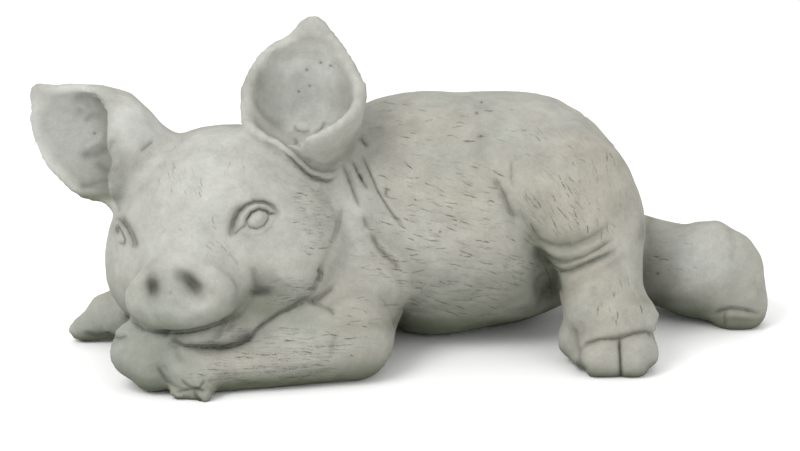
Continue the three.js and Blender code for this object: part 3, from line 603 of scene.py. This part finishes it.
def lineDistance(spots, line):
    best = np.full(len(spots), np.inf)
    spread = np.zeros(len(spots))
    lengths = [math.dist(a, b) for a, b in zip(line[:-1], line[1:])]
    run = 0.0
    for a, b, length in zip(line[:-1], line[1:], lengths):
        a = np.array(a, dtype=float)
        step = (np.array(b, dtype=float) - a) / length
        share = np.clip((spots - a) @ step, 0, length)
        off = np.linalg.norm(spots - a - share[:, None] * step, axis=1)
        closer = off < best
        best[closer] = off[closer]
        spread[closer] = (run + share[closer]) / sum(lengths)
        run += length
    return best, spread


def nearLine(spots, line, reach):
    xs = [p[0] for p in line]
    ys = [p[1] for p in line]
    inside = (spots[:, 0] > min(xs) - reach) & (spots[:, 0] < max(xs) + reach)
    inside &= (spots[:, 1] > min(ys) - reach) & (spots[:, 1] < max(ys) + reach)
    return np.nonzero(inside)[0]


# Scatters hair strokes over the patches
def growHair(patches, chance):
    hair = figure["hair"]
    strokes = []
    for patch in patches:
        for _ in range(round(patch["count"] * hair["count"])):
            angle = chance.uniform(0, 2 * math.pi)
            out = math.sqrt(chance.random())
            x = patch["at"][0] + patch["half"][0] * out * math.cos(angle)
            y = patch["at"][1] + patch["half"][1] * out * math.sin(angle)
            lie = math.radians(patch["lie"] + chance.gauss(0, patch["spread"]))
            length = patch["length"] * chance.uniform(*hair["length"])
            bow = chance.gauss(0, hair["bow"]) * length
            dx, dy = math.cos(lie) * length / 2, math.sin(lie) * length / 2
            line = ((x - dx, y - dy), (x - bow * math.sin(lie), y + bow * math.cos(lie)), (x + dx, y + dy))
            bold = chance.random() ** hair["boldPower"] * patch.get("bold", 1)
            strokes.append({
                "w": hair["width"][0] + hair["width"][1] * bold,
                "d": hair["depth"][0] + hair["depth"][1] * bold,
                "ink": hair["ink"][0] + hair["ink"][1] * bold,
                "line": line,
            })
    return strokes


# Splits the faces near the lines that the eye sees
def refineNear(thing, lines, reach, turn):
    mesh = thing.data
    spots = toPicture(readPlaces(mesh), turn)
    seen = inSight(mesh, turn)
    near = np.zeros(len(spots), dtype=bool)
    for stroke in lines:
        wide = reach + 1.3 * stroke["w"]  # the line itself and its shoulders
        some = nearLine(spots, stroke["line"], wide)
        some = some[seen[some]]
        if len(some):
            near[some[lineDistance(spots[some], stroke["line"])[0] < wide]] = True
    useAlone(thing)
    bpy.ops.object.mode_set(mode="EDIT")
    bpy.ops.mesh.select_mode(type="FACE")
    bpy.ops.mesh.select_all(action="DESELECT")
    bpy.ops.object.mode_set(mode="OBJECT")
    for face in mesh.polygons:
        face.select = any(near[v] for v in face.vertices)
    bpy.ops.object.mode_set(mode="EDIT")
    bpy.ops.mesh.subdivide(number_cuts=1, smoothness=0)
    bpy.ops.object.mode_set(mode="OBJECT")


# Cuts the lines into the surface and adds the soft painted shade and dirt around them to the array it is
# given
def carve(mesh, lines, turn, softShadeAndDirt):
    groove = figure["groove"]
    places = readPlaces(mesh)
    normals = readNormals(mesh)
    spots = toPicture(places, turn)
    seen = inSight(mesh, turn)
    eye = np.array(shot["aim"]) + eyeAxes(turn)[0] * shot["distance"]
    inward = places - eye
    inward /= np.linalg.norm(inward, axis=1)[:, None]
    move = np.zeros(len(places))
    pushed = np.zeros(len(places))
    for stroke in lines:
        some = nearLine(spots, stroke["line"], groove["reach"] * stroke["w"])
        some = some[seen[some]]
        if not len(some):
            continue
        off, spread = lineDistance(spots[some], stroke["line"])
        if stroke.get("push"):
            ends = groove["pitEnd"] + 4 * (1 - groove["pitEnd"]) * spread * (1 - spread)
        elif lineLength(stroke["line"]) > groove["longLine"] * stroke["w"]:
            ends = np.clip(spread * (1 - spread) * groove["taper"], 0, 1)
        else:
            ends = np.ones(len(some))
        core = np.exp(-((off / stroke["w"]) ** 2))
        sides = np.exp(-((off / stroke["w"] / groove["sideWidth"]) ** 2))
        if stroke["d"] < 0:
            share = core
        else:
            share = groove["core"] * core + (1 - groove["core"]) * sides
        amount = stroke["d"] * millimetre * share * (groove["endDepth"] + (1 - groove["endDepth"]) * ends)
        if stroke.get("push"):
            pushed[some] += amount
        else:
            move[some] -= amount
        if stroke.get("ink") and softShadeAndDirt is not None:
            shadeAndDirt = (groove["coreShadeAndDirt"] * core + groove["sideShadeAndDirt"] * sides) * stroke["ink"] * ends
            softShadeAndDirt[some] = 1 - (1 - softShadeAndDirt[some]) * (1 - shadeAndDirt)
    writePlaces(mesh, places + normals * move[:, None] + inward * pushed[:, None])


# Gives every face beside a line its own place on it: how far across in line widths, and how far
# along from 0 to 1. The stone reads them to draw the thin painted shade and dirt at the bottom of the line.
class LineMap:
    def __init__(self, mesh):
        self.corners = readCorners(mesh)
        self.nearest = np.full(len(self.corners), np.inf)
        self.places = np.full((len(self.corners), 3, 2), figure["thinShadeAndDirt"]["unmarked"])
        self.ink = np.zeros(len(self.corners))

    def draw(self, mesh, lines, turn):
        shadeAndDirt = figure["thinShadeAndDirt"]
        spots = toPicture(readPlaces(mesh), turn)
        seen = inSight(mesh, turn)
        middles = spots[self.corners].mean(axis=1)
        visible = seen[self.corners].sum(axis=1) >= 2
        for stroke in lines:
            width = max(shadeAndDirt["leastWidth"], shadeAndDirt["width"] * stroke["w"])
            reach = shadeAndDirt["reach"] * width + shadeAndDirt["margin"]
            lengths = [math.dist(a, b) for a, b in zip(stroke["line"][:-1], stroke["line"][1:])]
            some = nearLine(middles, stroke["line"], reach)
            some = some[visible[some]]
            run = 0.0
            for a, b, length in zip(stroke["line"][:-1], stroke["line"][1:], lengths):
                off, _ = lineDistance(middles[some], (a, b))
                closer = (off < reach) & (off < self.nearest[some])
                kept = some[closer]
                self.nearest[kept] = off[closer]
                step = (np.array(b) - np.array(a)) / length
                away = spots[self.corners[kept]] - np.array(a)
                self.places[kept, :, 0] = (away @ np.array((-step[1], step[0]))) / width
                self.places[kept, :, 1] = (run + away @ step) / sum(lengths)
                self.ink[kept] = stroke["ink"]
                run += length

    def store(self, mesh):
        layer = mesh.uv_layers.new(name="lineMap")
        layer.data.foreach_set("uv", self.places.ravel())
        addValues(mesh, "lineInk", "FACE", self.ink)


def triangles(mesh):
    return sum(len(face.vertices) - 2 for face in mesh.polygons)


# Gives the surface the gentle lumps of a casting
def roughen(mesh):
    places = readPlaces(mesh)
    normals = readNormals(mesh)
    move = np.zeros(len(places))
    for depth, size in figure["lumps"]:
        move += [depth * noise.noise(Vector(place) / size) for place in places]
    move *= 1 - figure["airyCalm"] * patchShare(toPicture(places), airy)
    writePlaces(mesh, places + normals * move[:, None])


# The solid with an even mesh over it
def meshFigure():
    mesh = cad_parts["pig_statue"].data.copy()
    thing = bpy.data.objects.new("cast_piglet", mesh)
    scene.collection.objects.link(thing)
    useAlone(thing)
    bpy.ops.object.mode_set(mode="EDIT")
    bpy.ops.mesh.select_all(action="SELECT")
    bpy.ops.mesh.remove_doubles(threshold=1e-6)
    bpy.ops.object.mode_set(mode="OBJECT")
    remesh = thing.modifiers.new("remesh", "REMESH")
    remesh.mode = "VOXEL"
    remesh.voxel_size = figure["voxel"]
    bpy.ops.object.modifier_apply(modifier="remesh")
    print("figure remeshed,", triangles(thing.data), "triangles")
    return thing


# Smooths the facets, and some listed places, before the carving
def smoothFigure(mesh):
    relax(mesh, figure["evenRounds"])
    spots = toPicture(readPlaces(mesh))
    seen = inSight(mesh)
    inFront = seen | (readPlaces(mesh)[:, 1] < figure["faceDepth"])
    jobs = (melted, figure["meltRounds"], inFront), (dressed, figure["dressRounds"], seen)
    for circles, rounds, chosen in jobs:
        weight = np.zeros(len(spots))
        for x, y, radius in circles:
            off = np.hypot(spots[:, 0] - x, spots[:, 1] - y) / radius
            share = np.clip(1.6 - 1.6 * off, 0, 1)  # whole up to 3/8 of the radius
            weight = np.maximum(weight, share * chosen)
        relax(mesh, rounds, weight, swell=figure["meltSwell"])
    nudge(mesh)
    openness = patchShare(toPicture(readPlaces(mesh)), airy)
    # the shelter drives the painted shade and moss in the hollows; open places get less of it
    addValues(mesh, "shelter", "POINT", measureShelter(mesh) * (1 - figure["airyShadeAndMoss"] * openness))
    # painted shade and moss on the undersides, strongest near the ground
    addValues(mesh, "under", "POINT", measureUnder(mesh))
    print("shelter measured")


# Refines the mesh where it gets carved, carves it, and marks the lines for the stone
def carveFigure(thing):
    chance = random.Random(figure["seed"])
    hair = growHair(coat, chance)
    hairBehind = growHair(coatBehind, chance)
    holes = [dict(figure["pinhole"], line=((x - 0.4, y), (x + 0.4, y))) for x, y in pinholes]
    boldest = tuple(stroke for stroke in hair if stroke["d"] > figure["hair"]["carvedDepth"])
    refineNear(thing, carving + boldest, figure["lineReach"], 0)
    refineNear(thing, hairBehind, figure["hairReach"], 180)
    print("features refined,", triangles(thing.data), "triangles")
    fine = [stroke for stroke in carving if stroke["w"] < figure["thinLine"]] + holes
    refineNear(thing, fine, figure["hairReach"], 0)
    mesh = thing.data
    print("lines refined,", triangles(mesh), "triangles")
    relax(mesh, figure["blendRounds"])
    roughen(mesh)

    softShadeAndDirt = np.zeros(len(mesh.vertices))
    carve(mesh, carving, 0, softShadeAndDirt)
    carve(mesh, holes, 0, softShadeAndDirt)
    carve(mesh, boldest, 0, None)
    carve(mesh, hairBehind, 180, None)
    # soft painted shade and dirt around the carved lines
    addValues(mesh, "softShadeAndDirt", "POINT", softShadeAndDirt)
    useAlone(thing)
    bpy.ops.object.mode_set(mode="EDIT")
    bpy.ops.mesh.select_all(action="SELECT")
    bpy.ops.mesh.quads_convert_to_tris()
    bpy.ops.object.mode_set(mode="OBJECT")
    mesh = thing.data
    lineMap = LineMap(mesh)
    shadeAndDirt = figure["thinShadeAndDirt"]
    thin = [s for s in carving if s["w"] < shadeAndDirt["widest"] and s.get("ink", 0) > shadeAndDirt["leastInk"]]
    lineMap.draw(mesh, thin + holes + hair, 0)
    lineMap.draw(mesh, hairBehind, 180)
    lineMap.store(mesh)


def makeFigure():
    thing = meshFigure()
    smoothFigure(thing.data)
    carveFigure(thing)
    mesh = thing.data
    low, high = np.min(cadBox, axis=0), np.max(cadBox, axis=0)
    writePlaces(mesh, np.clip(readPlaces(mesh), low, high))
    mesh.materials.clear()
    bpy.ops.object.shade_smooth()
    print("figure carved,", triangles(mesh), "triangles")
    return thing


piglet = makeFigure()

# Tints of the casting, painted light and painted shade, as soft patches on the picture: middle, half sizes,
# strength
tints = {
    "warm": (
        (425, 122, 60, 30, 0.45), (460, 200, 90, 60, 0.5), (590, 180, 70, 90, 0.7), (560, 220, 40, 50, 0.5),
        (600, 290, 60, 60, 0.6), (380, 240, 40, 50, 0.4), (350, 320, 40, 40, 0.6), (700, 265, 70, 45, 0.6),
        (250, 360, 60, 14, 0.3), (340, 130, 30, 30, 0.4),
    ),
    "cool": (
        (170, 320, 60, 20, 0.7), (200, 345, 50, 16, 0.4), (140, 355, 50, 50, 1.0), (95, 325, 30, 20, 0.8),
        (270, 300, 40, 25, 0.6), (240, 300, 30, 30, 0.4), (735, 268, 26, 26, 0.45),
    ),
    # painted light, where the lamps leave the stone too dark
    "paintedLight": (
        (205, 180, 95, 60, 0.95), (215, 135, 60, 22, 1.3), (190, 245, 70, 30, 0.9), (140, 125, 40, 36, 1.4),
        (68, 125, 46, 62, 1.5), (298, 90, 56, 66, 1.5), (280, 245, 40, 30, 0.5), (196, 308, 12, 8, 0.8),
        (430, 250, 70, 40, 0.35), (352, 215, 22, 50, 0.8), (560, 110, 60, 24, 0.4), (686, 252, 44, 34, 1.3),
        (306, 112, 22, 16, 0.9), (203, 340, 20, 6, 1.1), (185, 315, 14, 8, 0.5),
    ),
    # stronger painted light in the ears
    "paintedEarLight": (
        (73, 132, 32, 46, 0.75), (303, 84, 34, 40, 0.45), (312, 114, 26, 18, 0.75), (138, 122, 24, 24, 0.4),
    ),
    # painted shade in folds, under the jaw and along the bottom edges
    "paintedShade": (
        (266, 308, 30, 12, 0.55), (551, 285, 14, 34, 0.5), (536, 236, 14, 26, 0.4), (240, 316, 20, 9, 0.4),
        (335, 152, 22, 12, 0.25), (560, 258, 40, 12, 0.2), (645, 262, 8, 40, 0.3), (108, 165, 12, 26, 0.4),
        (740, 323, 28, 5, 0.6), (290, 384, 100, 7, 0.7), (450, 325, 90, 8, 0.7), (150, 392, 40, 6, 0.5),
        (610, 376, 50, 5, 0.3), (551, 288, 9, 26, 0.8), (546, 262, 10, 10, 0.6), (403, 318, 7, 18, 0.5),
        (665, 300, 40, 6, 0.5), (700, 312, 22, 5, 0.5), (96, 340, 26, 5, 0.5), (372, 372, 24, 10, 0.4),
        (740, 320, 30, 5, 0.8), (322, 383, 50, 5, 1.0), (246, 389, 48, 6, 1.0), (640, 262, 6, 30, 0.3),
        (150, 354, 26, 20, 0.2), (540, 212, 16, 20, 0.25), (552, 242, 30, 8, 0.3), (348, 150, 11, 16, 0.4),
        (89, 197, 28, 5, 0.9), (106, 168, 12, 16, 0.45), (104, 112, 8, 20, 0.25), (266, 78, 16, 18, 0.14),
        (300, 58, 26, 8, 0.12),
    ),
}


def paintTints(mesh):
    spots = toPicture(readPlaces(mesh))
    facing = np.clip(0.5 - 3 * readNormals(mesh)[:, 1], 0, 1)  # none on the back
    for name, patches in tints.items():
        edge = figure["earLightEdge"] if name == "paintedEarLight" else 1.0
        addValues(mesh, name, "POINT", patchShare(spots, patches, edge) * facing)


# Stone
stone = {
    "plain": (0.318, 0.316, 0.280, 1),
    "warm": (0.328, 0.306, 0.254, 1),
    "cool": (0.252, 0.268, 0.232, 1),
    # colour of the painted light
    "paintedLight": (0.412, 0.414, 0.384, 1),
    # colour of the painted light in the ears
    "paintedEarLight": (0.520, 0.526, 0.492, 1),
    # colour of the painted shade
    "paintedShade": (0.115, 0.125, 0.080, 1),
    # colour of the painted shade and moss in hollows and on undersides
    "shadeAndMoss": (0.070, 0.082, 0.048, 1),
    # colour of the painted shade and dirt in the carved lines
    "shadeAndDirt": (0.050, 0.056, 0.038, 1),
    "roughness": 0.86,
    "specular": 0.3,
    "drift": 26,  # scales of the clouds, per metre
    "cloud": 70,
    "speck": 900,
    "grain": 1500,
    "pit": 340,
    "grainDepth": 0.00006,  # relief, in metres
    "pitDepth": -0.00012,
    "lineDepth": -0.0005,
    "shelterShadeAndMoss": 0.9,  # how far each kind of painted shade, moss and dirt covers the stone
    "underShadeAndMoss": 0.85,
    "softShadeAndDirtCover": 0.85,
    "thinShadeAndDirtCover": 0.85,
}


def makeStone():
    material = bpy.data.materials.new("castStone")
    material.use_nodes = True
    nodes = material.node_tree.nodes
    links = material.node_tree.links
    shader = nodes["Principled BSDF"]
    place = nodes.new("ShaderNodeTexCoord").outputs["Object"]

    def fill(socket, value):
        if isinstance(value, (int, float, tuple)):
            socket.default_value = value
        else:
            links.new(value, socket)

    def value(name):
        node = nodes.new("ShaderNodeAttribute")
        node.attribute_name = name
        return node.outputs["Fac"]

    def maths(operation, a, b=0.0, clamp=False):
        node = nodes.new("ShaderNodeMath")
        node.operation = operation
        node.use_clamp = clamp
        fill(node.inputs[0], a)
        fill(node.inputs[1], b)
        return node.outputs[0]

    def between(source, low, high, newLow=0.0, newHigh=1.0):
        node = nodes.new("ShaderNodeMapRange")
        fill(node.inputs["Value"], source)
        node.inputs["From Min"].default_value = low
        node.inputs["From Max"].default_value = high
        node.inputs["To Min"].default_value = newLow
        node.inputs["To Max"].default_value = newHigh
        return node.outputs["Result"]

    def cloud(scale, detail=3.0, rough=0.55):
        node = nodes.new("ShaderNodeTexNoise")
        links.new(place, node.inputs["Vector"])
        node.inputs["Scale"].default_value = scale
        node.inputs["Detail"].default_value = detail
        node.inputs["Roughness"].default_value = rough
        return node.outputs["Fac"]

    def mix(amount, a, b, blend="MIX"):
        node = nodes.new("ShaderNodeMix")
        node.data_type = "RGBA"
        node.blend_type = blend
        fill(node.inputs["Factor"], amount)
        fill(node.inputs["A"], a)
        fill(node.inputs["B"], b)
        return node.outputs["Result"]

    # thin painted shade and dirt at the bottom of the carved lines, broken up where the hand slipped
    lineMap = nodes.new("ShaderNodeUVMap")
    lineMap.uv_map = "lineMap"
    split = nodes.new("ShaderNodeSeparateXYZ")
    links.new(lineMap.outputs["UV"], split.inputs["Vector"])
    wobble = between(cloud(420, 2.0), 0, 1, -0.8, 0.8)
    across = maths("ADD", split.outputs["X"], wobble)
    core = maths("POWER", 2.718, maths("MULTIPLY", maths("MULTIPLY", across, across), -1.0))
    span = maths("MULTIPLY", split.outputs["Y"], maths("SUBTRACT", 1.0, split.outputs["Y"]))
    ends = maths("MULTIPLY", span, 5.0, clamp=True)
    broken = between(cloud(260, 2.0), 0.3, 0.6, 0.35, 1.0)
    strength = maths("MULTIPLY", value("lineInk"), broken)
    line = maths("MULTIPLY", maths("MULTIPLY", core, ends), strength, clamp=True)

    # colour: tints of the casting, painted light, clouds, specks, then painted shade with moss and dirt
    drift = between(cloud(stone["drift"], 4.0), 0.3, 0.7, -0.25, 0.25)
    color = mix(maths("ADD", value("warm"), drift, clamp=True), stone["plain"], stone["warm"])
    color = mix(maths("SUBTRACT", value("cool"), drift, clamp=True), color, stone["cool"])
    # painted light
    paintedLight = maths("MULTIPLY", value("paintedLight"), between(cloud(38), 0.3, 0.7, 0.75, 1.1), clamp=True)
    color = mix(paintedLight, color, stone["paintedLight"])
    # painted light in the ears
    color = mix(value("paintedEarLight"), color, stone["paintedEarLight"])
    color = mix(1.0, color, between(cloud(stone["cloud"], 6.0, 0.7), 0.25, 0.75, 0.82, 1.18), "MULTIPLY")
    color = mix(1.0, color, between(cloud(stone["speck"], 2.0), 0.3, 0.7, 0.95, 1.05), "MULTIPLY")
    # painted shade in folds and along the bottom edges
    color = mix(value("paintedShade"), color, stone["paintedShade"])
    # painted shade and moss in the hollows
    shelter = maths("ADD", value("shelter"), between(cloud(60, 4.0), 0.3, 0.7, -0.05, 0.05))
    color = mix(between(shelter, 0.55, 1.0, 0.0, stone["shelterShadeAndMoss"]), color, stone["shadeAndMoss"])
    # painted shade and moss on the undersides, strongest near the ground
    under = maths("MULTIPLY", value("under"), between(cloud(45, 4.0), 0.3, 0.7, 0.8, 1.1))
    color = mix(between(under, 0.1, 1.1, 0.0, stone["underShadeAndMoss"]), color, stone["shadeAndMoss"])
    # painted shade and dirt around the carved lines
    color = mix(maths("MULTIPLY", value("softShadeAndDirt"), stone["softShadeAndDirtCover"]), color, stone["shadeAndDirt"])
    # thin painted shade and dirt at the bottom of the lines
    color = mix(maths("MULTIPLY", line, stone["thinShadeAndDirtCover"]), color, stone["shadeAndDirt"])
    links.new(color, shader.inputs["Base Color"])

    # relief: sandy grain, pits and the bottoms of the lines
    grain = maths("MULTIPLY", cloud(stone["grain"], 2.0), stone["grainDepth"])
    pits = maths("MULTIPLY", between(cloud(stone["pit"], 2.0), 0.62, 0.72), stone["pitDepth"])
    relief = maths("ADD", maths("ADD", grain, pits), maths("MULTIPLY", line, stone["lineDepth"]))
    bump = nodes.new("ShaderNodeBump")
    bump.inputs["Strength"].default_value = 1.0
    bump.inputs["Distance"].default_value = 1.0
    links.new(relief, bump.inputs["Height"])
    links.new(bump.outputs["Normal"], shader.inputs["Normal"])
    shader.inputs["Roughness"].default_value = stone["roughness"]
    shader.inputs["Specular IOR Level"].default_value = stone["specular"]
    return material


paintTints(piglet.data)
piglet.data.materials.append(makeStone())
print("stone made")
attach(piglet, "root")
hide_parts("pig_statue")
